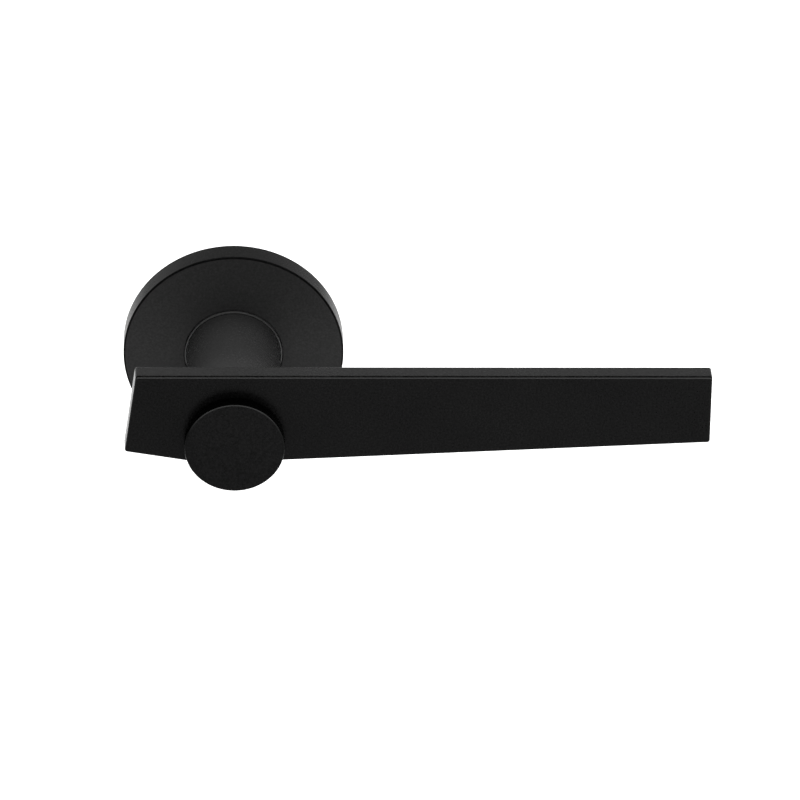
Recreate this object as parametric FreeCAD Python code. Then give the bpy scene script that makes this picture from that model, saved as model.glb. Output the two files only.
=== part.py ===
"""Sprung lever handle on a round rose: the outer half of a door set.

Frame: the lever turns about the Y axis, the door face is the plane y = 0, the user stands on the -Y
side, +X runs along the grip and +Z is up. All sizes are in millimetres.

The rose side stays still: cover, base plate, bush and the flat spring cassette between them. The
lever side turns as one: grip bar, neck, front boss, spindle, spring driver and the parts that hold
the neck in the base plate.
"""

import FreeCAD
import Part
import math
import os

Vector = FreeCAD.Vector
Y_AXIS = Vector(0, 1, 0)

# ---------------------------------------------------------------- driving dimensions: rose
rose_radius = 26.5
rose_depth = 6.0
cover_side_wall = 1.2
cover_front_wall = 1.2
cover_edge_round = 0.5
cover_clearance = 0.3           # cover wall to base plate rim
cover_mouth_chamfer = 0.25
undercut_depth = 0.25           # groove in the cover's wall for the clips
undercut_mouth = 0.1
undercut_height = 1.0
undercut_floor_height = 0.5
base_thickness = 1.6
base_edge_chamfer = 0.3
collar_wall = 1.8               # drawn collar on the back of the base plate
collar_length = 4.6
collar_root_round = 0.5
bush_wall = 1.3
bush_fit = 0.02                 # bush to collar
bush_flange_thickness = 0.6

# ---------------------------------------------------------------- driving dimensions: lever
neck_radius = 11.35
neck_end = 42.6                 # back face of the bar, in front of the door
bar_thickness = 5.0
bar_edge_round = 0.6
bar_end_lean = 0.2              # the ends lean this far to the left from front to back
bar_top = 17.5                  # height of the level top edge above the turning axis
bar_top_left = -23.5
bar_top_right = 113.4
bar_bottom_right = (113.15, -0.6)
bar_bottom_apex = (-6.9, -6.45)
bar_bottom_left = (-26.15, -3.2)
boss_radius = 11.95
boss_height = 3.6               # front disc, proud of the bar
boss_edge_round = 0.5
boss_back_chamfer = 0.3
boss_seat_gap = 0.15            # under the bar's lower edge
spigot_radius = 3.5

# ---------------------------------------------------------------- driving dimensions: shaft line
journal_radius = 9.0
running_gap = 0.05
journal_flat = 8.2              # centre to each flat that drives the spring driver
spindle_side = 8.0
spindle_edge_chamfer = 0.4
spindle_slack = 0.05            # each side, in the neck's socket
spindle_reach = 34.0            # behind the door face
spindle_end_gap = 0.3           # to the socket's floor
grub_radius = 2.5
grub_length = 6.4
grub_position = 14.0            # in front of the door face
grub_key = 3.0
grub_end_chamfer = 0.5
clamp_radius = 2.0
clamp_head_radius = 3.5
clamp_head_height = 4.0
clamp_key = 3.0
clamp_washer_thickness = 0.9
clamp_floor = 3.8               # the neck's end wall, under the washer
clamp_head_space = 0.4
clamp_head_chamfer = 0.35
clamp_hole_gap = 0.15           # round head and shank, in the neck
clamp_tip_gap = 0.1
clamp_engagement = 1.8          # into the front disc
pin_radius = 1.25
pin_place = (7.0, 5.0)
pin_depth_in_neck = 4.0
pin_depth_in_boss = 2.0
pin_end_chamfer = 0.2
thread_gap = 0.05
washer_thickness = 0.6
washer_bore_gap = 0.1
washer_set_back = 0.4           # rim of the thrust washer, inside the bush's flange
disc_spring_thickness = 0.35
disc_spring_cone = 0.3
disc_spring_gap = 0.15          # to the journal
disc_spring_width = 1.85
ring_thickness = 1.0
ring_groove_depth = 0.55
ring_height = 1.7               # radial width of the retaining ring
ring_ear_radius = 1.5
ring_ear_hole = 0.65
ring_ear_margin = 0.5           # each ear to the middle of the ring's opening
axial_play = 0.05
journal_tail = 0.9              # journal behind the ring groove
journal_end_chamfer = 0.4

# ---------------------------------------------------------------- driving dimensions: spring cassette
lever_travel = 45.0             # degrees, pressed down
driver_wall = 3.4               # journal to the driver's rim
stop_pin_radius = 0.7
stop_pin_inset = 0.8            # from the driver's rim
stop_pin_seat = 1.4             # into the base plate
stop_pin_angles = (0.0, 180.0)
driver_gap = 0.15               # driver to the plates each side of it
cassette_depth = 2.4            # between base plate and spring cover
spring_cover_thickness = 0.4
spring_cover_gap = 0.3          # to the journal
spring_cover_rim = 0.75         # outside the rivets
spring_strip = 0.8
spring_pitch = 1.35
spring_half_turns = 3
spring_gap = 0.35               # driver rim to the first coil, and outer coil to its post
spring_hook = 1.2               # the inner leg's hold in the driver's rim
spring_leg_reach = 2.4
spring_post_radius = 0.9
spring_turn = 90.0              # the legs lie above and below the axis
rivet_radius = 1.25
rivet_tail_radius = 0.9
rivet_head_radius = 1.6
rivet_head = 0.25
rivet_gap = 1.1                 # outer coil to the rivets
quarter_angles = (45.0, 135.0, 225.0, 315.0)
clip_thickness = 0.4
clip_width = 6.0
clip_height = 2.0
clip_foot = 3.4
clip_bead = 0.7
clip_bead_height = 1.0
clip_set_back = 0.25            # leaf to the base plate's rim
clip_rivet_radius = 0.8
clip_rivet_head = 0.35
clip_rivet_head_radius = 1.2
clip_rivet_margin = 0.4         # to the inner end of the clip's foot

# ---------------------------------------------------------------- driving dimensions: fixings
lug_spacing = 38.0
lug_radius = 3.5
lug_spigot_radius = 2.8
lug_length = 12.0
lug_end_chamfer = 0.5
lug_thread_radius = 1.65
lug_thread_depth = 12.6
guide_ring_wall = 0.3
guide_ring_proud = 0.55
guide_ring_flange = 1.3
guide_ring_gap = 0.06
guide_ring_slack = 0.2          # sleeve to the cover's bore
guide_ring_flange_thickness = 0.3

# ---------------------------------------------------------------- planes along the axis
cover_inside = -(rose_depth - cover_front_wall)
base_front = -base_thickness
cassette_front = base_front - cassette_depth
spring_cover_front = cassette_front - spring_cover_thickness
neck_shoulder = spring_cover_front - axial_play
bar_back = -neck_end
bar_front = bar_back - bar_thickness
boss_front = bar_front - boss_height
clamp_seat = neck_end - clamp_floor
socket_floor = clamp_seat - clamp_washer_thickness - clamp_head_height - clamp_head_space
bush_back = collar_length + bush_flange_thickness
washer_start = bush_back + axial_play
washer_end = washer_start + washer_thickness
disc_spring_end = washer_end + disc_spring_cone + disc_spring_thickness
ring_start = disc_spring_end + axial_play
ring_end = ring_start + ring_thickness
journal_end = ring_end + axial_play + journal_tail

# ---------------------------------------------------------------- radii that follow
bush_bore = journal_radius + running_gap
bush_radius = bush_bore + bush_wall
collar_bore = bush_radius + bush_fit
collar_radius = collar_bore + collar_wall
base_radius = rose_radius - cover_side_wall - cover_clearance
guide_ring_bore = neck_radius + guide_ring_gap
guide_ring_radius = guide_ring_bore + guide_ring_wall
cover_bore = guide_ring_radius + guide_ring_slack
socket_half = spindle_side / 2 + spindle_slack
ring_groove_radius = journal_radius - ring_groove_depth
driver_radius = journal_radius + driver_wall
stop_pin_place = driver_radius - stop_pin_inset
spring_inner_end = driver_radius - spring_hook
stop_pin_reach = math.degrees(math.asin((stop_pin_radius + running_gap) / stop_pin_place))
spring_start = driver_radius + spring_gap + spring_strip / 2 + spring_pitch / 4
spring_end = spring_start + spring_pitch / 2 * (spring_half_turns - 1)
coil_room = spring_end + spring_strip / 2 + rivet_gap + rivet_radius
flange_room = cover_bore + guide_ring_flange + guide_ring_gap + rivet_head_radius
rivet_place = max(coil_room, flange_room)
spring_cover_radius = rivet_place + rivet_radius + spring_cover_rim
clip_rivet_place = base_radius - clip_foot + clip_rivet_radius + clip_rivet_margin


# ---------------------------------------------------------------- building blocks
def cylinder(radius, start, end, x=0.0, z=0.0):
    """A round bar along Y from start to end."""
    low = min(start, end)
    return Part.makeCylinder(radius, abs(end - start), Vector(x, low, z), Y_AXIS)


def tube(outer, inner, start, end):
    """A ring about the Y axis; its bore is cut a little long at each end."""
    low, high = min(start, end), max(start, end)
    return cylinder(outer, low, high).cut(cylinder(inner, low - 1, high + 1))


def block(x_range, y_range, z_range):
    """A box between the given limits."""
    low = Vector(min(x_range), min(y_range), min(z_range))
    sides = [abs(a - b) for a, b in (x_range, y_range, z_range)]
    return Part.makeBox(*sides, low)


def turned(shape, degrees):
    """A copy turned about the Y axis, from +X towards +Z."""
    copy = shape.copy()
    copy.rotate(Vector(0, 0, 0), Y_AXIS, -degrees)
    return copy


def polar(radius, degrees):
    """The x and z of a place at that radius and angle."""
    angle = math.radians(degrees)
    return radius * math.cos(angle), radius * math.sin(angle)


def prism(points, start, end, lean=0.0):
    """A prism along Y on (x, z) points; lean shifts its far end along X."""
    corners = [Vector(x, start, z) for x, z in points]
    face = Part.Face(Part.makePolygon(corners + corners[:1]))
    return face.extrude(Vector(lean, end - start, 0))


def revolved(points):
    """A turned shape about the Y axis from its (radius, y) outline."""
    corners = [Vector(radius, y, 0) for radius, y in points]
    face = Part.Face(Part.makePolygon(corners + corners[:1]))
    return face.revolve(Vector(0, 0, 0), Y_AXIS, 360)


def hexagon(across_flats, start, end):
    """A hexagonal bar about the Y axis."""
    radius = across_flats / math.sqrt(3)
    return prism([polar(radius, 60 * step) for step in range(6)], start, end)


def circles_at(shape, y, radius):
    """The circular edges of a shape at that plane and radius."""
    found = []
    for edge in shape.Edges:
        curve = edge.Curve
        if not isinstance(curve, Part.Circle):
            continue
        if abs(curve.Center.y - y) < 1e-6 and abs(curve.Radius - radius) < 1e-6:
            found.append(edge)
    return found


def group(shapes):
    """Separate solids kept together in one node."""
    return Part.makeCompound(shapes)


def save(name, shape):
    """Writes one node."""
    shape.exportStep(os.path.join("parts", name + ".step"))


# ---------------------------------------------------------------- rose side
def rose_cover():
    """Thin cup that hides the base plate, with an undercut that the clips snap into."""
    cup = cylinder(rose_radius, -rose_depth, 0)
    cup = cup.makeFillet(cover_edge_round, circles_at(cup, -rose_depth, rose_radius))
    inside = rose_radius - cover_side_wall
    cup = cup.cut(cylinder(inside, cover_inside, 1))
    cup = cup.cut(cylinder(cover_bore, -rose_depth - 1, 1))
    undercut_middle = base_front - clip_thickness - clip_height / 2
    undercut = revolved([
        (inside - undercut_mouth, undercut_middle - undercut_height / 2),
        (inside + undercut_depth, undercut_middle - undercut_floor_height / 2),
        (inside + undercut_depth, undercut_middle + undercut_floor_height / 2),
        (inside - undercut_mouth, undercut_middle + undercut_height / 2),
    ])
    cup = cup.cut(undercut)
    return cup.makeChamfer(cover_mouth_chamfer, circles_at(cup, 0, inside))


def neck_guide_ring():
    """Flanged plastic ring between the neck and the cover's bore, a hair proud of the cover."""
    front = -rose_depth - guide_ring_proud
    flange_end = cover_inside + guide_ring_flange_thickness
    ring = cylinder(guide_ring_radius, front, cover_inside)
    ring = ring.makeFillet(guide_ring_wall / 2, circles_at(ring, front, guide_ring_radius))
    ring = ring.fuse(cylinder(cover_bore + guide_ring_flange, cover_inside, flange_end))
    return ring.cut(cylinder(guide_ring_bore, front - 1, flange_end + 1)).removeSplitter()


def base_plate():
    """Pressed steel plate with a drawn collar; it carries the bush, the lugs and the cassette."""
    plate = cylinder(base_radius, base_front, 0)
    rims = circles_at(plate, 0, base_radius) + circles_at(plate, base_front, base_radius)
    plate = plate.makeChamfer(base_edge_chamfer, rims)
    plate = plate.fuse(cylinder(collar_radius, base_front, collar_length)).removeSplitter()
    plate = plate.makeFillet(collar_root_round, circles_at(plate, 0, collar_radius))
    plate = plate.cut(cylinder(collar_bore, base_front - 1, collar_length + 1))
    for side in (-1, 1):
        plate = plate.cut(cylinder(lug_spigot_radius, base_front - 1, 1, side * lug_spacing / 2))
    for angle in stop_pin_angles:
        x, z = polar(stop_pin_place, angle)
        plate = plate.cut(cylinder(stop_pin_radius, base_front - 1, base_front + stop_pin_seat, x, z))
    plate = plate.cut(cylinder(spring_post_radius, base_front - 1, 1, *spring_post_centre()))
    for angle in quarter_angles:
        plate = plate.cut(cylinder(rivet_tail_radius, base_front - 1, 1, *polar(rivet_place, angle)))
        x, z = polar(clip_rivet_place, angle)
        plate = plate.cut(cylinder(clip_rivet_radius, base_front - 1, 1, x, z))
    return plate


def fixing_lug(side):
    """Internally threaded post that passes through the door and takes a bolt from the other side."""
    x = side * lug_spacing / 2
    lug = cylinder(lug_radius, 0, lug_length, x)
    lug = lug.makeChamfer(
        lug_end_chamfer, [e for e in lug.Edges if abs(e.BoundBox.YMin - lug_length) < 1e-6]
    )
    lug = lug.fuse(cylinder(lug_spigot_radius, base_front, 0, x)).removeSplitter()
    return lug.cut(cylinder(lug_thread_radius, lug_length - lug_thread_depth, lug_length + 1, x))


def bearing_bush():
    """Flanged plastic bush, pushed into the collar from behind."""
    bush = tube(bush_radius, bush_bore, base_front, bush_back)
    return bush.fuse(tube(collar_radius, bush_bore, collar_length, bush_back)).removeSplitter()


def spring_cover():
    """Thin plate that closes the cassette and holds driver and spring in."""
    plate = tube(spring_cover_radius, journal_radius + spring_cover_gap, spring_cover_front, cassette_front)
    for angle in quarter_angles:
        x, z = polar(rivet_place, angle)
        plate = plate.cut(cylinder(rivet_tail_radius, spring_cover_front - 1, 1, x, z))
    return plate


def cassette_rivet(angle):
    """Shouldered rivet that spaces the spring cover off the base plate."""
    x, z = polar(rivet_place, angle)
    body = cylinder(rivet_radius, cassette_front, base_front, x, z)
    tail = cylinder(rivet_tail_radius, spring_cover_front, 0, x, z)
    head = cylinder(rivet_head_radius, spring_cover_front - rivet_head, spring_cover_front, x, z)
    return body.fuse([tail, head]).removeSplitter()


def stop_pin(angle):
    """Pin in the base plate that ends the driver's travel."""
    x, z = polar(stop_pin_place, angle)
    return cylinder(stop_pin_radius, cassette_front + driver_gap, base_front + stop_pin_seat, x, z)


def spring_centre(step):
    """Centre, on X before the spring is turned, of the arc that makes that half turn."""
    return spring_pitch / 4 * (1 if step % 2 else -1)


def spring_outer_end():
    """Middle of the strip where the outer coil ends, on X before the spring is turned."""
    side = -1 if spring_half_turns % 2 else 1
    return side, spring_centre(spring_half_turns - 1) + side * spring_end


def spring_post_centre():
    """Where the outer leg is anchored: beside the leg, on the side towards which it pulls."""
    side, outer = spring_outer_end()
    along = outer + side * (spring_strip / 2 + spring_gap + spring_post_radius)
    across = -side * (spring_strip / 2 + spring_post_radius + running_gap)
    radius = math.hypot(along, across)
    return polar(radius, math.degrees(math.atan2(across, along)) + spring_turn)


def spring_post():
    """Post in the base plate that anchors the spring's outer leg."""
    return cylinder(spring_post_radius, cassette_front + driver_gap, 0, *spring_post_centre())


def return_spring():
    """Flat spiral of strip: half turns whose centres swing from side to side."""
    start, end = cassette_front + driver_gap, base_front - driver_gap
    half_strip = spring_strip / 2
    pieces = []
    for step in range(spring_half_turns):
        middle = spring_start + spring_pitch / 2 * step
        coil = tube(middle + half_strip, middle - half_strip, start, end)
        half = (-rose_radius, 0) if step % 2 else (0, rose_radius)
        coil = coil.common(block((-rose_radius, rose_radius), (start, end), half))
        coil.translate(Vector(spring_centre(step), 0, 0))
        pieces.append(coil)
    inner = spring_start + spring_centre(0)
    pieces.append(block((spring_inner_end, inner + half_strip), (start, end), (0, spring_strip)))
    side, outer = spring_outer_end()
    leg = (outer - side * half_strip, outer + side * spring_leg_reach)
    pieces.append(block(leg, (start, end), (-half_strip, half_strip)))
    spring = pieces[0].fuse(pieces[1:]).removeSplitter()
    return turned(spring, spring_turn)


def cover_clip(angle):
    """Bent leaf on the base plate whose bead snaps into the cover's undercut."""
    foot_top = base_front - clip_thickness
    tip = foot_top - clip_height
    middle = foot_top - clip_height / 2
    outer = base_radius - clip_set_back
    profile = [
        (base_radius - clip_foot, base_front),
        (outer, base_front),
        (outer, middle + clip_bead_height / 2),
        (outer + clip_bead, middle),
        (outer, middle - clip_bead_height / 2),
        (outer, tip),
        (outer - clip_thickness, tip),
        (outer - clip_thickness, foot_top),
        (base_radius - clip_foot, foot_top),
    ]
    corners = [Vector(x, y, -clip_width / 2) for x, y in profile]
    clip = Part.Face(Part.makePolygon(corners + corners[:1])).extrude(Vector(0, 0, clip_width))
    clip = clip.common(cylinder(outer + clip_bead, tip - 1, 1))
    clip = clip.cut(cylinder(clip_rivet_radius, tip - 1, 1, clip_rivet_place))
    return turned(clip, angle)


def clip_rivet(angle):
    """Small rivet through a clip's foot and the base plate."""
    x, z = polar(clip_rivet_place, angle)
    foot_top = base_front - clip_thickness
    shank = cylinder(clip_rivet_radius, foot_top, 0, x, z)
    head = cylinder(clip_rivet_head_radius, foot_top - clip_rivet_head, foot_top, x, z)
    return shank.fuse(head).removeSplitter()


# ---------------------------------------------------------------- lever side
def grip_bar():
    """Flat bar with a level top edge and a bottom edge that falls to an apex beside the neck."""
    outline = [
        (bar_top_left, bar_top),
        (bar_top_right, bar_top),
        bar_bottom_right,
        bar_bottom_apex,
        bar_bottom_left,
    ]
    bar = prism(outline, bar_front, bar_back, -bar_end_lean)
    bar = bar.makeFillet(bar_edge_round, bar.Edges)
    bar = bar.cut(cylinder(spigot_radius + running_gap, bar_front - 1, bar_back + 1))
    for side in (-1, 1):
        x, z = side * pin_place[0], pin_place[1]
        bar = bar.cut(cylinder(pin_radius, bar_front - 1, bar_back + 1, x, z))
    return bar


def neck():
    """Round neck with the journal, the spindle socket and the seat of the clamp screw."""
    body = cylinder(neck_radius, bar_back, neck_shoulder)
    body = body.fuse(cylinder(journal_radius, neck_shoulder, journal_end)).removeSplitter()
    body = body.makeChamfer(journal_end_chamfer, circles_at(body, journal_end, journal_radius))
    flat_zone = (cassette_front, base_front)
    height = (-driver_radius, driver_radius)
    for side in (-1, 1):
        cut = block((side * journal_flat, side * (journal_radius + 1)), flat_zone, height)
        body = body.cut(cut)
    groove = tube(journal_radius + 1, ring_groove_radius, ring_start - axial_play, ring_end + axial_play)
    body = body.cut(groove)
    half = (-socket_half, socket_half)
    body = body.cut(block(half, (-socket_floor, journal_end + 1), half))
    body = body.cut(cylinder(clamp_head_radius + clamp_hole_gap, -clamp_seat, -socket_floor + 1))
    body = body.cut(cylinder(clamp_radius + clamp_hole_gap, bar_back - 1, -clamp_seat + 1))
    grub_hole = Part.makeCylinder(
        grub_radius + thread_gap, neck_radius + 1, Vector(0, -grub_position, -neck_radius - 1)
    )
    body = body.cut(grub_hole)
    for side in (-1, 1):
        x, z = side * pin_place[0], pin_place[1]
        body = body.cut(cylinder(pin_radius, bar_back - 1, bar_back + pin_depth_in_neck, x, z))
    return body


def front_boss():
    """Front disc, with the web that closes the neck under the bar and a spigot through the bar."""
    disc = cylinder(boss_radius, boss_front, bar_front)
    disc = disc.makeFillet(boss_edge_round, circles_at(disc, boss_front, boss_radius))
    disc = disc.makeChamfer(boss_back_chamfer, circles_at(disc, bar_front, boss_radius))
    web = cylinder(neck_radius, bar_front, bar_back)
    far = 4 * neck_radius
    gap = boss_seat_gap
    above = [
        (bar_bottom_left[0], bar_bottom_left[1] - gap),
        (bar_bottom_apex[0], bar_bottom_apex[1] - gap),
        (bar_bottom_right[0], bar_bottom_right[1] - gap),
        (bar_bottom_right[0], far),
        (bar_bottom_left[0], far),
    ]
    web = web.cut(prism(above, bar_back + 1, bar_front - 1))
    spigot = cylinder(spigot_radius, bar_front, bar_back)
    body = disc.fuse([web, spigot]).removeSplitter()
    hole_end = bar_front - clamp_engagement
    body = body.cut(cylinder(clamp_radius + thread_gap, bar_back + 1, hole_end))
    for side in (-1, 1):
        x, z = side * pin_place[0], pin_place[1]
        body = body.cut(cylinder(pin_radius, bar_front - pin_depth_in_boss, bar_back, x, z))
    return body


def clamp_screw():
    """Socket head screw, put in through the spindle socket, that pulls the boss onto the neck."""
    seat = -clamp_seat + clamp_washer_thickness
    head_end = seat + clamp_head_height
    head = cylinder(clamp_head_radius, seat, head_end)
    head = head.makeChamfer(clamp_head_chamfer, circles_at(head, head_end, clamp_head_radius))
    shank = cylinder(clamp_radius, bar_front - clamp_engagement + clamp_tip_gap, seat)
    screw = head.fuse(shank).removeSplitter()
    return screw.cut(hexagon(clamp_key, head_end - clamp_head_height / 2, head_end + 1))


def clamp_washer():
    """Lock washer under the clamp screw's head."""
    end = -clamp_seat + clamp_washer_thickness
    return tube(clamp_head_radius, clamp_radius + washer_bore_gap, -clamp_seat, end)


def locating_pin(side):
    """Dowel through the bar, from the neck into the boss."""
    x, z = side * pin_place[0], pin_place[1]
    pin = cylinder(pin_radius, bar_front - pin_depth_in_boss, bar_back + pin_depth_in_neck, x, z)
    ends = circles_at(pin, bar_front - pin_depth_in_boss, pin_radius)
    ends += circles_at(pin, bar_back + pin_depth_in_neck, pin_radius)
    return pin.makeChamfer(pin_end_chamfer, ends)


def grub_screw():
    """Set screw under the neck that grips the spindle."""
    top = -spindle_side / 2
    low = top - grub_length
    place = Vector(0, -grub_position, low)
    screw = Part.makeCylinder(grub_radius, grub_length, place)
    tops = [e for e in screw.Edges if abs(e.BoundBox.ZMin - top) < 1e-6]
    screw = screw.makeChamfer(grub_end_chamfer, tops)
    radius = grub_key / math.sqrt(3)
    corners = []
    for step in range(6):
        x, y = polar(radius, 60 * step)
        corners.append(Vector(x, y - grub_position, low - 1))
    key = Part.Face(Part.makePolygon(corners + corners[:1]))
    return screw.cut(key.extrude(Vector(0, 0, 1 + grub_length / 2)))


def spindle():
    """Square bar that turns the lock's follower."""
    half = spindle_side / 2
    bar = block((-half, half), (-socket_floor + spindle_end_gap, spindle_reach), (-half, half))
    return bar.makeChamfer(spindle_edge_chamfer, bar.Edges)


def spring_driver():
    """Ring on the journal's flats: it winds the spring, and its slots ride on the stop pins."""
    start, end = cassette_front + driver_gap, base_front - driver_gap
    bore = cylinder(journal_radius + running_gap, start - 1, end + 1)
    flat = journal_flat + running_gap
    bore = bore.common(block((-flat, flat), (start - 1, end + 1), (-driver_radius, driver_radius)))
    plate = cylinder(driver_radius, start, end).cut(bore)
    floor = stop_pin_place - stop_pin_radius - running_gap
    rim = tube(driver_radius + 1, floor, start - 1, end + 1)
    far = 3 * driver_radius
    low, high = polar(far, -stop_pin_reach), polar(far, lever_travel + stop_pin_reach)
    arc_slot = rim.common(prism([(0, 0), low, high], start - 1, end + 1))
    for angle in stop_pin_angles:
        plate = plate.cut(turned(arc_slot, angle))
    leg_slot = block(
        (spring_inner_end - 2 * running_gap, driver_radius + 1),
        (start - 1, end + 1),
        (-running_gap, spring_strip + running_gap),
    )
    return plate.cut(turned(leg_slot, spring_turn))


def thrust_washer():
    """Steel washer between the bush flange and the disc spring."""
    outer = collar_radius - washer_set_back
    return tube(outer, journal_radius + washer_bore_gap, washer_start, washer_end)


def disc_spring():
    """Conical washer that takes up the neck's end play."""
    inner = journal_radius + disc_spring_gap
    outer = inner + disc_spring_width
    low, high = washer_end, washer_end + disc_spring_cone
    return revolved([
        (inner, high),
        (outer, low),
        (outer, low + disc_spring_thickness),
        (inner, high + disc_spring_thickness),
    ])


def retaining_ring():
    """External snap ring with two eared ends."""
    inner = ring_groove_radius + running_gap
    ring = tube(inner + ring_height, inner, ring_start, ring_end)
    ear_place = inner + ring_ear_radius
    ear_angle = math.degrees(math.asin((ring_ear_radius + ring_ear_margin) / ear_place))
    gap = block((-ring_ear_radius, ring_ear_radius), (ring_start, ring_end), (-2 * inner, 0))
    ring = ring.cut(gap)
    for side in (-1, 1):
        x, z = polar(ear_place, -90 + side * ear_angle)
        ear = cylinder(ring_ear_radius, ring_start, ring_end, x, z)
        ring = ring.fuse(ear.cut(cylinder(inner, ring_start - 1, ring_end + 1)))
        ring = ring.cut(cylinder(ring_ear_hole, ring_start - 1, ring_end + 1, x, z))
    return ring.removeSplitter()


def build():
    """Makes every node."""
    save("rose_cover", rose_cover())
    save("neck_guide_ring", neck_guide_ring())
    save("base_plate", base_plate())
    save("fixing_lug_left", fixing_lug(-1))
    save("fixing_lug_right", fixing_lug(1))
    save("bearing_bush", bearing_bush())
    save("spring_cover", spring_cover())
    save("cassette_rivets", group([cassette_rivet(angle) for angle in quarter_angles]))
    save("stop_pins", group([stop_pin(angle) for angle in stop_pin_angles]))
    save("spring_post", spring_post())
    save("return_spring", return_spring())
    save("cover_clips", group([cover_clip(angle) for angle in quarter_angles]))
    save("clip_rivets", group([clip_rivet(angle) for angle in quarter_angles]))
    save("grip_bar", grip_bar())
    save("neck", neck())
    save("front_boss", front_boss())
    save("clamp_screw", clamp_screw())
    save("clamp_washer", clamp_washer())
    save("locating_pins", group([locating_pin(side) for side in (-1, 1)]))
    save("grub_screw", grub_screw())
    save("spindle", spindle())
    save("spring_driver", spring_driver())
    save("thrust_washer", thrust_washer())
    save("disc_spring", disc_spring())
    save("retaining_ring", retaining_ring())


os.makedirs("parts", exist_ok=True)
build()
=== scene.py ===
"""Looks of the lever handle: clean turned and pressed pieces, their finishes, and the studio."""

import math

import bmesh
import bpy
from mathutils import Matrix, Vector


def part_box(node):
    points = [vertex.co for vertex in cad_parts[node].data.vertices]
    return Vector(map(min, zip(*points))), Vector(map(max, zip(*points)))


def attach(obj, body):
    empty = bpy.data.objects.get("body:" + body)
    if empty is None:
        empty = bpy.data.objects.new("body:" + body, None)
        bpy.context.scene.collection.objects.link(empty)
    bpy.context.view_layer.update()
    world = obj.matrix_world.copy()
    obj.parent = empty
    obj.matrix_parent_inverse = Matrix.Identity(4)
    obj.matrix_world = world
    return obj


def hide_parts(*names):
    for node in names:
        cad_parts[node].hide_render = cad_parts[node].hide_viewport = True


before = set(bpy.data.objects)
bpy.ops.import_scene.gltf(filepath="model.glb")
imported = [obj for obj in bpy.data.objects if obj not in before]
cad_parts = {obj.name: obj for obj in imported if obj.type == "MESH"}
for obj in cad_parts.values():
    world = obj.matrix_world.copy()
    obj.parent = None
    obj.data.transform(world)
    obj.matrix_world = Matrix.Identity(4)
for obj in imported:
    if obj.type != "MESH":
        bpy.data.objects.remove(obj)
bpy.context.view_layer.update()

MM = 0.001
ORIGIN = Vector((0, 0, 0))
ALONG = Vector((0, 1, 0))
FULL_TURN = 2 * math.pi
QUARTERS = (45, 135, 225, 315)
MIX_FIRST, MIX_SECOND = 6, 7    # the Mix node's colour inputs
MIX_COLOUR = 2                  # and its colour output


def low(node):
    """Lowest corner of a node, in millimetres."""
    return Vector(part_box(node)[0]) / MM


def high(node):
    """Highest corner of a node, in millimetres."""
    return Vector(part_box(node)[1]) / MM


# ---------------------------------------------------------------- sizes read off the frame, in mm
rose_radius = high("rose_cover").x
rose_front = low("rose_cover").y
ring_front = low("neck_guide_ring").y
ring_back = high("neck_guide_ring").y
ring_flange = high("neck_guide_ring").x
neck_radius = high("neck").x
neck_back = high("neck").y
bar_front = low("grip_bar").y
bar_back = high("grip_bar").y
bar_left = low("grip_bar").x
bar_right = high("grip_bar").x
bar_top = high("grip_bar").z
bar_apex = low("grip_bar").z
boss_front = low("front_boss").y
boss_radius = high("front_boss").x
plate_radius = high("base_plate").x
plate_front = low("base_plate").y
collar_end = high("base_plate").y
bush_end = high("bearing_bush").y
collar_radius = high("bearing_bush").x
lug_end = high("fixing_lug_right").y
lug_place = (low("fixing_lug_right").x + high("fixing_lug_right").x) / 2
lug_radius = high("fixing_lug_right").z

# ---------------------------------------------------------------- sizes of the workmanship, in mm
# Rounds on turned and pressed edges, from the finest to the widest.
hair_edge = 0.05
fine_edge = 0.08
thin_edge = 0.1
broken_edge = 0.12
eased_edge = 0.15
soft_edge = 0.2

seat_gap = 0.05                 # between pieces that touch in use
weld_reach = 0.0005             # vertices nearer than this are one
overrun = 1.0                   # how far a cutter passes the face it enters

cover_wall = 1.2
cover_round = 0.5
cover_inner_round = 0.3
ring_gap = 0.06
ring_wall = 0.3
ring_slack = 0.2

collar_wall = 1.8
collar_root = 0.6
collar_lip = 0.25
collar_sink = 0.5               # the collar starts this deep in the plate
lug_spigot = 2.8
lug_chamfer = 0.5
lug_mouth = 0.4
lug_mouth_flare = 0.35
lug_runout = 1.4                # bore beyond the last groove
thread_root = (0.45, 0.55)      # where the flat root starts and ends, as shares of the pitch
lug_pitch = 0.7
lug_core = 1.65
lug_crest = 1.95
lug_bore = 12.6
bush_wall = 1.3

clip_head = 1.2
clip_head_height = 0.35
clip_hole = 0.8
clip_shank = 0.78
cassette_head = 1.6
cassette_shank = 0.88
cassette_shoulder = 1.25
tail_hole = 0.9
tail_sink = 0.05                # tails end this far below the plate's back
post_radius = 0.9
post_shoulder = -1.2

bar_round = 0.6
bar_lean = 0.2
bar_apex_place = -6.9           # across from the spindle's axis
bar_left_slant = 2.65           # the top corner stands this far in from the lower one
bar_right_slant = 0.25
bar_left_rise = 3.25            # the lower corners above the apex
bar_right_rise = 5.85
bar_left_trim = 0.09            # what the rounds take off the sharp outline
bar_right_trim = 0.035

journal_radius = 9.0
journal_chamfer = 0.4
driver_flat = 8.2
flat_depth = 2                  # of the block that cuts a flat
flat_half_height = 15
neck_steps = (-24, -4.6)
socket_half = 4.05
spindle_end_gap = 0.3
socket_floor = low("spindle").y - spindle_end_gap
clamp_hole = 2.15
clamp_pocket = 3.65
set_screw_place = -14           # along the neck
set_screw_hole = 2.5
set_screw_hole_depth = 4        # from the axis
set_screw_rim = 2.95
set_screw_rim_depth = 0.45
set_screw_rim_top = 0.5
set_screw_head = -10.4

boss_round = 0.5
boss_undercut = 0.3
web_gap = 0.15
web_chamfer = 0.12

spindle_half = 4.0
spindle_corner = 0.4

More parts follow.
